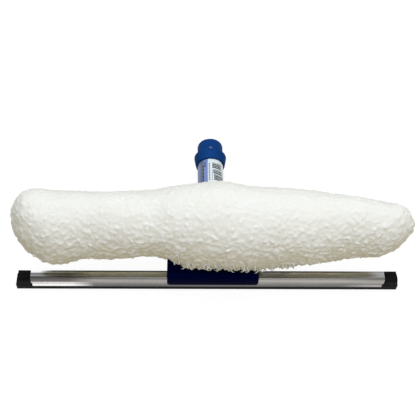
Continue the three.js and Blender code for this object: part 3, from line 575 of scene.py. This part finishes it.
class Finishes:
    """The materials, made once and shared by the operators."""
    made = {}

    @classmethod
    def get(cls, slot):
        if slot not in cls.made:
            cls.made[slot] = cls.build(slot)
        return cls.made[slot]

    @staticmethod
    def build(slot):
        look = bpy.context.scene.washer_finish
        plastics = {
            "navy_plastic": ("Navy plastic", look.navy, 0.42, 0.004),
            "blue_plastic": ("Blue plastic", look.blue, 0.4, 0.01),
            "lit_button_plastic": ("Lit button plastic", look.button, 0.3, 0.3),
            "inner_plastic": ("Grey plastic", look.inner, 0.5, 0.3),
        }
        if slot in plastics:
            name, colour, roughness, gloss = plastics[slot]
            return moulded_plastic(name, tuple(colour), roughness, gloss)
        makers = {
            "channel_steel": lambda: drawn_steel("Drawn steel", tuple(look.steel)),
            "fastener_steel": lambda: zinc_steel("Zinc plated steel", tuple(look.zinc)),
            "blade_rubber": lambda: black_rubber("Blade rubber", tuple(look.rubber), roughness=0.45),
            "cap_rubber": lambda: black_rubber("Cap rubber", tuple(look.cap), roughness=0.55),
            "tape": lambda: woven_tape("Woven tape", tuple(look.tape)),
            "fleece": lambda: fleece(bpy.context.scene.washer_sleeve),
            "label_film": lambda: printed_label("Printed label"),
        }
        return makers[slot]()


# Mesh helpers
def new_object(name, mesh):
    made = bpy.data.objects.new(name, mesh)
    bpy.context.scene.collection.objects.link(made)
    return made


def apply_modifiers(piece):
    """Turns the piece and its modifiers into a plain mesh."""
    bpy.context.view_layer.update()
    graph = bpy.context.evaluated_depsgraph_get()
    mesh = bpy.data.meshes.new_from_object(piece.evaluated_get(graph))
    piece.modifiers.clear()
    old = piece.data
    piece.data = mesh
    bpy.data.meshes.remove(old)


def merged_copy(cad_node, name, flat_angle=FLAT_FACES, weld=0.002 * MM):
    """A copy of a CAD node whose loose triangles are welded and whose flat faces are whole."""
    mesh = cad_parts[cad_node].data.copy()
    mesh.name = name
    mesh.materials.clear()
    work = bmesh.new()
    work.from_mesh(mesh)
    bmesh.ops.remove_doubles(work, verts=work.verts, dist=weld)
    if flat_angle:
        bmesh.ops.dissolve_limit(work, angle_limit=flat_angle, verts=work.verts, edges=work.edges)
    for face in work.faces:
        face.smooth = True
    work.to_mesh(mesh)
    work.free()
    return new_object(name, mesh)


def dress(piece, slot, body, cad_node, finish=None):
    """Gives the piece its material and body, and puts it in the CAD node's place."""
    piece.data.materials.clear()
    piece.data.materials.append(Finishes.get(finish or slot))
    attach(piece, body)
    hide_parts(cad_node)


def shape_lower_edge(mesh, radius, reach, steps=5):
    """Draws a plate's lower edge down by the reach and lifts it in an arc at both ends."""
    work = bmesh.new()
    work.from_mesh(mesh)
    lowest = min(vert.co.z for vert in work.verts)
    left = min(vert.co.x for vert in work.verts)
    right = max(vert.co.x for vert in work.verts)
    for step in range(1, steps + 1):
        inset = radius * (1 - math.cos(math.pi / 2 * step / steps))
        for place in (left + inset, right - inset):
            whole = [*work.verts, *work.edges, *work.faces]
            bmesh.ops.bisect_plane(work, geom=whole, plane_co=(place, 0, 0), plane_no=(1, 0, 0))
    for vert in work.verts:
        outer = max(0.0, radius - min(vert.co.x - left, right - vert.co.x))
        arc = radius - math.sqrt(radius ** 2 - min(outer, radius) ** 2)
        fade = 1 - (vert.co.z - lowest) / (2 * radius)
        vert.co.z += (arc - reach) * max(0.0, fade)
    work.to_mesh(mesh)
    work.free()


def rounded_copy(cad_node, name, slot, body, rounding, crease=CREASE, finish=None, shape=None):
    """A welded copy of a CAD node, shaped if asked, with its hard edges rounded off."""
    piece = merged_copy(cad_node, name)
    if shape:
        shape(piece.data)
    bevel = piece.modifiers.new("Rounded edges", "BEVEL")
    bevel.width = rounding
    bevel.segments = 2
    bevel.limit_method = "ANGLE"
    bevel.angle_limit = crease
    apply_modifiers(piece)
    piece.data.set_sharp_from_angle(angle=SHARP_SHADING)
    dress(piece, slot, body, cad_node, finish)


class WASHER_OT_stage(bpy.types.Operator):
    """Camera, floor and soft studio light"""
    bl_idname = "washer.stage"
    bl_label = "Stage"

    def execute(self, context):
        self.camera(context)
        self.floor()
        for lamp in LAMPS:
            self.lamp(context, *lamp)
        self.sky(context)
        context.scene.view_settings.view_transform = "Standard"
        return {"FINISHED"}

    @staticmethod
    def camera(context):
        pitch, yaw, roll = CAMERA_PITCH, CAMERA_YAW, CAMERA_ROLL
        up = Vector((0, math.sin(pitch), math.cos(pitch)))
        ahead = Vector((0, math.cos(pitch), -math.sin(pitch)))
        sideways = Vector((1, 0, 0))
        look = math.sin(yaw) * sideways + math.cos(yaw) * ahead
        right = math.cos(yaw) * sideways - math.sin(yaw) * ahead
        level_right = math.cos(roll) * right + math.sin(roll) * up
        level_up = math.cos(roll) * up - math.sin(roll) * right
        data = bpy.data.cameras.new("Photograph camera")
        data.sensor_width = SENSOR_WIDTH_MM
        data.lens = FOCAL_LENGTH_PX / PICTURE_WIDTH_PX * data.sensor_width
        data.clip_start = NEAREST_SEEN
        camera = bpy.data.objects.new("Photograph camera", data)
        axes = Matrix((level_right, level_up, -look)).transposed()
        camera.matrix_world = Matrix.Translation(CAMERA_PLACE) @ axes.to_4x4()
        context.scene.collection.objects.link(camera)
        context.scene.camera = camera

    @staticmethod
    def seen_rays(tree):
        """1 for rays that show things, straight on, mirrored or through glass, and 0 for bounced light."""
        path = node(tree, "ShaderNodeLightPath")
        seen = calc(tree, "MAXIMUM", path.outputs["Is Camera Ray"], path.outputs["Is Glossy Ray"])
        return calc(tree, "MAXIMUM", seen, path.outputs["Is Transmission Ray"])

    def floor(self):
        made, tree, shader = material("Studio floor")
        tree.nodes.remove(shader)
        bounce = node(tree, "ShaderNodeBsdfDiffuse", {"Color": FLOOR_BOUNCE})
        white = node(tree, "ShaderNodeBsdfDiffuse", {"Color": FLOOR_WHITE})
        glow = node(tree, "ShaderNodeEmission", {"Color": (1, 1, 1, 1), "Strength": FLOOR_GLOW})
        ground = node(tree, "ShaderNodeAddShader", {0: white.outputs[0], 1: glow.outputs[0]})
        mix = node(tree, "ShaderNodeMixShader", {
            0: self.seen_rays(tree), 1: bounce.outputs[0], 2: ground.outputs[0]})
        tree.links.new(mix.outputs[0], tree.nodes["Material Output"].inputs["Surface"])
        mesh = bpy.data.meshes.new("Studio floor")
        half, level = FLOOR_HALF_WIDTH, FLOOR_LEVEL
        corners = [(-half, -half, level), (half, -half, level), (half, half, level), (-half, half, level)]
        mesh.from_pydata(corners, [], [(0, 1, 2, 3)])
        mesh.materials.append(made)
        new_object("Studio floor", mesh)

    @staticmethod
    def lamp(context, name, place, aim, size, power, colour):
        data = bpy.data.lights.new(name, "AREA")
        data.shape = "SQUARE"
        data.size = size
        data.energy = power
        data.color = colour
        lamp = bpy.data.objects.new(name, data)
        lamp.location = place
        lamp.rotation_mode = "QUATERNION"
        lamp.rotation_quaternion = (Vector(aim) - Vector(place)).to_track_quat("-Z", "Y")
        context.scene.collection.objects.link(lamp)

    def sky(self, context):
        world = bpy.data.worlds.new("Studio")
        context.scene.world = world
        world.use_nodes = True
        tree = world.node_tree
        background = tree.nodes["Background"]
        background.inputs["Color"].default_value = (1, 1, 1, 1)
        strength = ramp(tree, self.seen_rays(tree), 0, 1, SKY_LIGHT, 1.0)
        tree.links.new(strength, background.inputs["Strength"])


# Fleece sleeve
def inside_sleeve(points):
    """True for the points on the sleeve's inner walls, round the bar, the stem, the yoke and the tapes."""
    hidden = np.zeros(len(points), bool)
    for cad_node in ("washer_bar", "stem_binding", "yoke", "hook_strip", "loop_strip"):
        low, high = (np.array(corner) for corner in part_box(cad_node))
        hidden |= ((points > low - INNER_MARGIN) & (points < high + INNER_MARGIN)).all(axis=1)
    return hidden


def vertex_values(mesh, key):
    values = np.empty(len(mesh.vertices) * 3)
    mesh.vertices.foreach_get(key, values)
    return values.reshape(-1, 3)


def mesh_points(mesh):
    return vertex_values(mesh, "co")


def mesh_normals(mesh):
    return vertex_values(mesh, "normal")


def set_points(mesh, points):
    mesh.vertices.foreach_set("co", points.astype(np.float32).ravel())
    mesh.update()


def hill(along, place, reach, height):
    return height * np.exp(-((along - place * MM) / (reach * MM)) ** 2)


def fullness(points, normals):
    """How far each point is pushed out: the sleeve crowds up at the handle and is full at both ends."""
    along = points[:, 0]
    facing_up = np.clip(normals @ REAR_UPPER_SIDE + SIDE_OVERLAP, 0, 1)
    facing_down = np.clip(normals @ -REAR_UPPER_SIDE + SIDE_OVERLAP, 0, 1)
    crown = hill(along, *CROWDED_MIDDLE) + hill(along, *BROAD_CROWN)
    shoulder = hill(along, *LEFT_SHOULDER)
    tip = TIP_HEIGHT_MM * np.clip((along - TIP_START) / TIP_LENGTH, 0, 1)
    hem = hill(along, *FRONT_HEM)
    return (facing_up * (CROWN_BASE_MM + crown + shoulder) + facing_down * hem + tip) * MM


def swell_by_cloth(piece, held, settings):
    """Blows the sleeve up a little as cloth, with its inner walls held."""
    group = piece.vertex_groups.new(name="Held")
    group.add(np.flatnonzero(held).tolist(), 1.0, "REPLACE")
    rest = mesh_points(piece.data)
    cloth = piece.modifiers.new("Swell", "CLOTH")
    cloth.settings.use_pressure = True
    cloth.settings.uniform_pressure_force = settings.pressure
    cloth.settings.vertex_group_mass = group.name
    cloth.settings.effector_weights.gravity = 0
    cloth.point_cache.frame_start = 1
    cloth.point_cache.frame_end = SWELL_FRAMES
    scene = bpy.context.scene
    for step in range(1, SWELL_FRAMES + 1):
        scene.frame_set(step)
    graph = bpy.context.evaluated_depsgraph_get()
    swollen = mesh_points(piece.evaluated_get(graph).data)
    piece.modifiers.remove(cloth)
    scene.frame_set(1)
    piece.vertex_groups.clear()
    move = swollen - rest
    length = np.linalg.norm(move, axis=1, keepdims=True)
    capped = np.tanh(length / settings.swell) * settings.swell
    set_points(piece.data, rest + move * capped / np.maximum(length, 1e-9))


def tree_with_sizes(name, labels):
    """A geometry tree with an input for each size and one for the seed, and its sockets' identifiers."""
    tree = bpy.data.node_groups.new(name, "GeometryNodeTree")
    tree.interface.new_socket("Geometry", in_out="INPUT", socket_type="NodeSocketGeometry")
    tree.interface.new_socket("Geometry", in_out="OUTPUT", socket_type="NodeSocketGeometry")
    kinds = {label: "NodeSocketFloat" for label in labels} | {"Seed": "NodeSocketInt"}
    sockets = {}
    for label, kind in kinds.items():
        socket = tree.interface.new_socket(label, in_out="INPUT", socket_type=kind)
        sockets[label] = socket.identifier
    return tree, node(tree, "NodeGroupInput"), node(tree, "NodeGroupOutput"), sockets


def run_tree(piece, tree, sockets, values):
    modifier = piece.modifiers.new(tree.name, "NODES")
    modifier.node_group = tree
    for label, value in values.items():
        modifier[sockets[label]] = value
    apply_modifiers(piece)


def lock_shape(tree, length, width, lift, flat_share):
    """One lock of wool: it rises from its root, bends over along X and thins out to its tip."""
    def at(along, up, aside):
        place = node(tree, "ShaderNodeCombineXYZ", {
            "X": calc(tree, "MULTIPLY", length, along), "Y": calc(tree, "MULTIPLY", length, aside),
            "Z": calc(tree, "MULTIPLY", lift, up)})
        return place.outputs[0]

    path = node(tree, "GeometryNodeCurveQuadraticBezier", {
        "Resolution": LOCK_STEPS, "Start": at(*LOCK_ROOT), "Middle": at(*LOCK_BEND), "End": at(*LOCK_TIP)})
    share = node(tree, "GeometryNodeSplineParameter").outputs["Factor"]
    square = calc(tree, "MULTIPLY", share, share)
    swell = calc(tree, "ADD", ROOT_WIDTH_SHARE, calc(tree, "MULTIPLY", share, SWELL_SHARE))
    swell = calc(tree, "SUBTRACT", swell, calc(tree, "MULTIPLY", square, TAPER_SHARE))
    radius = calc(tree, "MULTIPLY", calc(tree, "MULTIPLY", swell, width), 0.5)
    height = ramp(tree, share, 0, 1, ROOT_PILE_HEIGHT, 1.0)
    marked = node(tree, "GeometryNodeStoreNamedAttribute", {
        "Geometry": path.outputs[0], "Name": "pile_height", "Value": height},
        data_type="FLOAT", domain="POINT")
    ring = node(tree, "GeometryNodeCurvePrimitiveCircle", {"Resolution": LOCK_SIDES, "Radius": 1.0})
    flat = node(tree, "GeometryNodeTransform", {
        "Geometry": ring.outputs[0], "Scale": (1.0, flat_share, 1.0)})
    solid = node(tree, "GeometryNodeCurveToMesh", {
        "Curve": marked.outputs[0], "Profile Curve": flat.outputs[0], "Scale": radius, "Fill Caps": True})
    return solid.outputs[0]


def scatter(tree, surface, shape, spacing, density, seed, spread, tilt):
    """Copies of a lock all over the surface, lying downhill, each turned by up to the tilt and spread."""
    chance = node(tree, "GeometryNodeInputNamedAttribute", {"Name": density}, data_type="FLOAT")
    points = node(tree, "GeometryNodeDistributePointsOnFaces", {
        "Mesh": surface, "Distance Min": spacing, "Density Max": MOST_LOCKS_PER_SQUARE_METRE,
        "Density Factor": chance.outputs[0], "Seed": seed}, distribute_method="POISSON")
    upright = node(tree, "FunctionNodeAlignRotationToVector", {
        "Vector": points.outputs["Normal"]}, axis="Z")
    downhill = node(tree, "FunctionNodeAlignRotationToVector", {
        "Rotation": upright.outputs[0], "Vector": LOCK_LIE}, axis="X", pivot_axis="Z")
    swing = node(tree, "FunctionNodeRandomValue", {
        0: (-LOCK_ROLL, -tilt, -spread), 1: (LOCK_ROLL, tilt, spread), "Seed": seed},
        data_type="FLOAT_VECTOR")
    swung = node(tree, "FunctionNodeRotateRotation", {
        "Rotation": downhill.outputs[0],
        "Rotate By": node(tree, "FunctionNodeEulerToRotation", {0: swing.outputs[0]}).outputs[0]},
        rotation_space="LOCAL")
    size = node(tree, "FunctionNodeRandomValue", {
        2: LOCK_SIZES[0], 3: LOCK_SIZES[1], "Seed": calc(tree, "ADD", seed, 1)}, data_type="FLOAT")
    facing = node(tree, "ShaderNodeSeparateXYZ", {0: points.outputs["Normal"]}).outputs["Z"]
    by_side = ramp(tree, facing, *LOWER_AND_UPPER_SIDE, *LOWER_AND_UPPER_SCALE)
    scale = calc(tree, "MULTIPLY", size.outputs[1], by_side)
    copies = node(tree, "GeometryNodeInstanceOnPoints", {
        "Points": points.outputs["Points"], "Instance": shape, "Rotation": swung.outputs[0],
        "Scale": scale})
    return copies.outputs[0]


def lock_tree():
    """Raises soft hills and covers them in locks of wool where 'outside' is 1."""
    labels = ["Clump", "Clump height", "Curl", "Curl height", "Lock spacing", "Lock length", "Lock width",
              "Lock lift"]
    tree, start, end, sockets = tree_with_sizes("Fleece locks", labels)
    clump, clump_height, curl, curl_height, spacing, length, width, lift = (
        start.outputs[label] for label in labels)
    point = node(tree, "GeometryNodeInputPosition").outputs[0]

    def texture(size, detail):
        scale = calc(tree, "DIVIDE", 1.0, size)
        made = node(tree, "ShaderNodeTexNoise", {"Vector": point, "Scale": scale, "Detail": detail})
        return calc(tree, "SUBTRACT", made.outputs[0], 0.5)

    rise = calc(tree, "ADD", calc(tree, "MULTIPLY", texture(clump, 2.0), clump_height),
                calc(tree, "MULTIPLY", texture(curl, 1.0), curl_height))
    outside = node(tree, "GeometryNodeInputNamedAttribute", {"Name": "outside"}, data_type="FLOAT")
    rise = calc(tree, "MULTIPLY", rise, outside.outputs[0])
    normal = node(tree, "GeometryNodeInputNormal").outputs[0]
    placed = node(tree, "GeometryNodeSetPosition", {
        "Geometry": start.outputs["Geometry"], "Offset": scaled(tree, normal, rise)})
    lock = lock_shape(tree, length, width, lift, flat_share=0.6)
    surface = placed.outputs[0]
    seed = start.outputs["Seed"]
    locks = scatter(tree, surface, lock, spacing, "outside", seed, spread=math.pi, tilt=0.25)
    finish_tree(tree, end, [surface, locks])
    return tree, sockets


def tuft_tree():
    """Adds loose tufts where 'loose' is above 0."""
    labels = ["Tuft spacing", "Tuft length", "Tuft width"]
    tree, start, end, sockets = tree_with_sizes("Fleece tufts", labels)
    spacing, length, width = (start.outputs[label] for label in labels)
    lift = calc(tree, "MULTIPLY", length, TUFT_LIFT_SHARE)
    tuft = lock_shape(tree, length, width, lift, flat_share=0.7)
    surface = start.outputs["Geometry"]
    seed = start.outputs["Seed"]
    tufts = scatter(tree, surface, tuft, spacing, "loose", seed, spread=0.7, tilt=0.35)
    finish_tree(tree, end, [surface, tufts])
    return tree, sockets


def finish_tree(tree, end, parts):
    joined = node(tree, "GeometryNodeJoinGeometry")
    for part in parts:
        tree.links.new(part, joined.inputs[0])
    real = node(tree, "GeometryNodeRealizeInstances", {0: joined.outputs[0]})
    smooth = node(tree, "GeometryNodeSetShadeSmooth", {0: real.outputs[0]})
    painted = node(tree, "GeometryNodeSetMaterial", {
        "Geometry": smooth.outputs[0], "Material": Finishes.get("fleece")})
    tree.links.new(painted.outputs[0], end.inputs[0])


def mark_points(mesh, name, values):
    attribute = mesh.attributes.new(name, "FLOAT", "POINT")
    attribute.data.foreach_set("value", np.asarray(values, np.float32))


def heights_above(points, skin):
    """How far each point stands off the skin, in metres."""
    return np.array([skin.find_nearest(Vector(point))[3] or 0.0 for point in points])


def loose_pile(points, normals, held):
    """How loose the pile hangs: 1 along the sleeve's lower front edge over the clamp."""
    low = np.clip((normals @ LOWER_FRONT_EDGE - LOOSE_FROM) / LOOSE_FADE, 0, 1)
    aside = np.abs(points[:, 0] - FRINGE_CENTRE)
    middle = np.clip((FRINGE_HALF_WIDTH - aside) / FRINGE_FADE, 0, 1)
    return low * middle * ~held


class WASHER_OT_sleeve(bpy.types.Operator):
    """The fleece sleeve, swollen as cloth and covered in curly pile"""
    bl_idname = "washer.sleeve"
    bl_label = "Fleece sleeve"

    def execute(self, context):
        settings = context.scene.washer_sleeve
        piece = merged_copy("washer_sleeve", "fleece_sleeve", flat_angle=0)
        self.fill_out(piece, settings)
        self.cover_in_locks(piece, settings)
        self.hang_tufts(piece, settings)
        dress(piece, "fleece", HEAD, "washer_sleeve")
        return {"FINISHED"}

    @staticmethod
    def fill_out(piece, settings):
        """Remeshes the plain sleeve and gives it its full, soft outline."""
        remesh = piece.modifiers.new("Cells", "REMESH")
        remesh.mode = "VOXEL"
        remesh.voxel_size = settings.cell
        apply_modifiers(piece)
        points = mesh_points(piece.data)
        held = inside_sleeve(points)
        normals = mesh_normals(piece.data)
        push = (fullness(points, normals) - settings.shrink) * ~held
        set_points(piece.data, points + normals * push[:, None])
        swell_by_cloth(piece, held, settings)
        mark_points(piece.data, "outside", ~held)
        smooth = piece.modifiers.new("Fine cells", "SUBSURF")
        smooth.levels = smooth.render_levels = 1
        apply_modifiers(piece)

    @staticmethod
    def cover_in_locks(piece, settings):
        """Covers the sleeve in locks of wool, melts them into one pile and marks how high it stands."""
        skin = BVHTree.FromPolygons(
            [tuple(point) for point in mesh_points(piece.data)],
            [tuple(face.vertices) for face in piece.data.polygons])
        tree, sockets = lock_tree()
        run_tree(piece, tree, sockets, {
            "Clump": settings.clump, "Clump height": settings.clump_height,
            "Curl": settings.curl, "Curl height": settings.curl_height,
            "Lock spacing": settings.lock_spacing, "Lock length": settings.lock_length,
            "Lock width": settings.lock_width, "Lock lift": settings.lock_lift, "Seed": settings.seed})
        melt = piece.modifiers.new("Melted locks", "REMESH")
        melt.mode = "VOXEL"
        melt.voxel_size = settings.melt
        soft = piece.modifiers.new("Soft locks", "SMOOTH")
        soft.factor = 0.5
        soft.iterations = 3
        apply_modifiers(piece)
        top = settings.lock_lift + LOCK_THICKNESS_SHARE * settings.lock_width
        pile = heights_above(mesh_points(piece.data), skin) / top
        mark_points(piece.data, "pile_height", np.clip(pile, 0, 1))

    @staticmethod
    def hang_tufts(piece, settings):
        """Hangs loose tufts along the lower front edge, over the clamp."""
        points = mesh_points(piece.data)
        loose = loose_pile(points, mesh_normals(piece.data), inside_sleeve(points))
        mark_points(piece.data, "loose", loose)
        tree, sockets = tuft_tree()
        run_tree(piece, tree, sockets, {
            "Tuft spacing": settings.tuft_spacing, "Tuft length": settings.tuft_length,
            "Tuft width": settings.tuft_width, "Seed": settings.seed + TUFT_SEED_STEP})


class WASHER_OT_squeegee(bpy.types.Operator):
    """Channel, rubber and end caps"""
    bl_idname = "washer.squeegee"
    bl_label = "Squeegee"

    def execute(self, context):
        rounded_copy("blade_channel", "steel_channel", "channel_steel", BLADE, CHANNEL_EDGE,
                     crease=CHANNEL_CREASE)
        rounded_copy("blade_rubber", "rubber_blade", "blade_rubber", BLADE, BLADE_EDGE)
        for side in ("left", "right"):
            rounded_copy(f"end_cap_{side}", f"cap_{side}", "cap_rubber", BLADE, CAP_EDGE)
        return {"FINISHED"}


class WASHER_OT_clamp(bpy.types.Operator):
    """Yoke and front jaw"""
    bl_idname = "washer.clamp"
    bl_label = "Clamp"

    def execute(self, context):
        rounded_copy("yoke", "moulded_yoke", "navy_plastic", HEAD, YOKE_EDGE)
        rounded_copy("jaw_plate", "moulded_jaw", "navy_plastic", HEAD, JAW_EDGE,
                     shape=lambda mesh: shape_lower_edge(mesh, JAW_CORNER, JAW_REACH))
        return {"FINISHED"}


class WASHER_OT_handle(bpy.types.Operator):
    """Handle tube, label, lock ring, spigot and button"""
    bl_idname = "washer.handle"
    bl_label = "Handle"

    def execute(self, context):
        rounded_copy("handle_tube", "grip_tube", "blue_plastic", HEAD, TUBE_EDGE)
        rounded_copy("grip_label", "wrapped_label", "label_film", HEAD, LABEL_EDGE)
        rounded_copy("pole_spigot", "spigot", "blue_plastic", HEAD, SPIGOT_EDGE)
        rounded_copy("lock_collar", "lock_ring", "blue_plastic", COLLAR, RING_EDGE)
        # The button takes the lighter blue, a painted highlight
        rounded_copy("lock_button", "button", "blue_plastic", BUTTON, BUTTON_EDGE, finish="lit_button_plastic")
        return {"FINISHED"}


class WASHER_OT_inner_parts(bpy.types.Operator):
    """Bar, stem, bung, tapes, screws, nuts and spring"""
    bl_idname = "washer.inner_parts"
    bl_label = "Inner parts"

    def execute(self, context):
        for cad_node, slot, rounding in (
            ("washer_bar", "inner_plastic", BAR_EDGE),
            ("stem_plate", "inner_plastic", STEM_EDGE),
            ("tube_bung", "inner_plastic", BUNG_EDGE),
            ("stem_binding", "tape", TAPE_EDGE),
            ("hook_strip", "tape", TAPE_EDGE),
            ("loop_strip", "tape", TAPE_EDGE),
        ):
            rounded_copy(cad_node, f"finished_{cad_node}", slot, HEAD, rounding)
        for fastener in ("jaw_screw", "jaw_nut", "stem_screw", "bar_screw", "bar_nut"):
            for side in ("left", "right"):
                cad_node = f"{fastener}_{side}"
                rounded_copy(cad_node, f"finished_{cad_node}", "fastener_steel", HEAD, PAIRED_SCREW_EDGE)
        for cad_node in ("tube_screw", "spigot_screw"):
            rounded_copy(cad_node, f"finished_{cad_node}", "fastener_steel", HEAD, SINGLE_SCREW_EDGE)
        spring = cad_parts["button_spring"]
        spring.data.materials.clear()
        spring.data.materials.append(Finishes.get("fastener_steel"))
        return {"FINISHED"}


class WASHER_PT_panel(bpy.types.Panel):
    """The steps of the build, in order"""
    bl_idname = "WASHER_PT_panel"
    bl_label = "Window washer"
    bl_space_type = "VIEW_3D"
    bl_region_type = "UI"
    bl_category = "Washer"

    def draw(self, context):
        for operator in STEPS:
            self.layout.operator(operator.bl_idname)
        self.layout.prop(context.scene.washer_sleeve, "clump_height")
        self.layout.prop(context.scene.washer_sleeve, "curl_height")


STEPS = (
    WASHER_OT_stage,
    WASHER_OT_sleeve,
    WASHER_OT_squeegee,
    WASHER_OT_clamp,
    WASHER_OT_handle,
    WASHER_OT_inner_parts,
)
CLASSES = (SleeveSettings, FinishSettings, *STEPS, WASHER_PT_panel)


def register():
    for item in CLASSES:
        bpy.utils.register_class(item)
    bpy.types.Scene.washer_sleeve = bpy.props.PointerProperty(type=SleeveSettings)
    bpy.types.Scene.washer_finish = bpy.props.PointerProperty(type=FinishSettings)


def unregister():
    del bpy.types.Scene.washer_finish
    del bpy.types.Scene.washer_sleeve
    for item in reversed(CLASSES):
        bpy.utils.unregister_class(item)


def main():
    register()
    bpy.ops.washer.stage()
    bpy.ops.washer.sleeve()
    bpy.ops.washer.squeegee()
    bpy.ops.washer.clamp()
    bpy.ops.washer.handle()
    bpy.ops.washer.inner_parts()


if __name__ == "__main__":
    main()
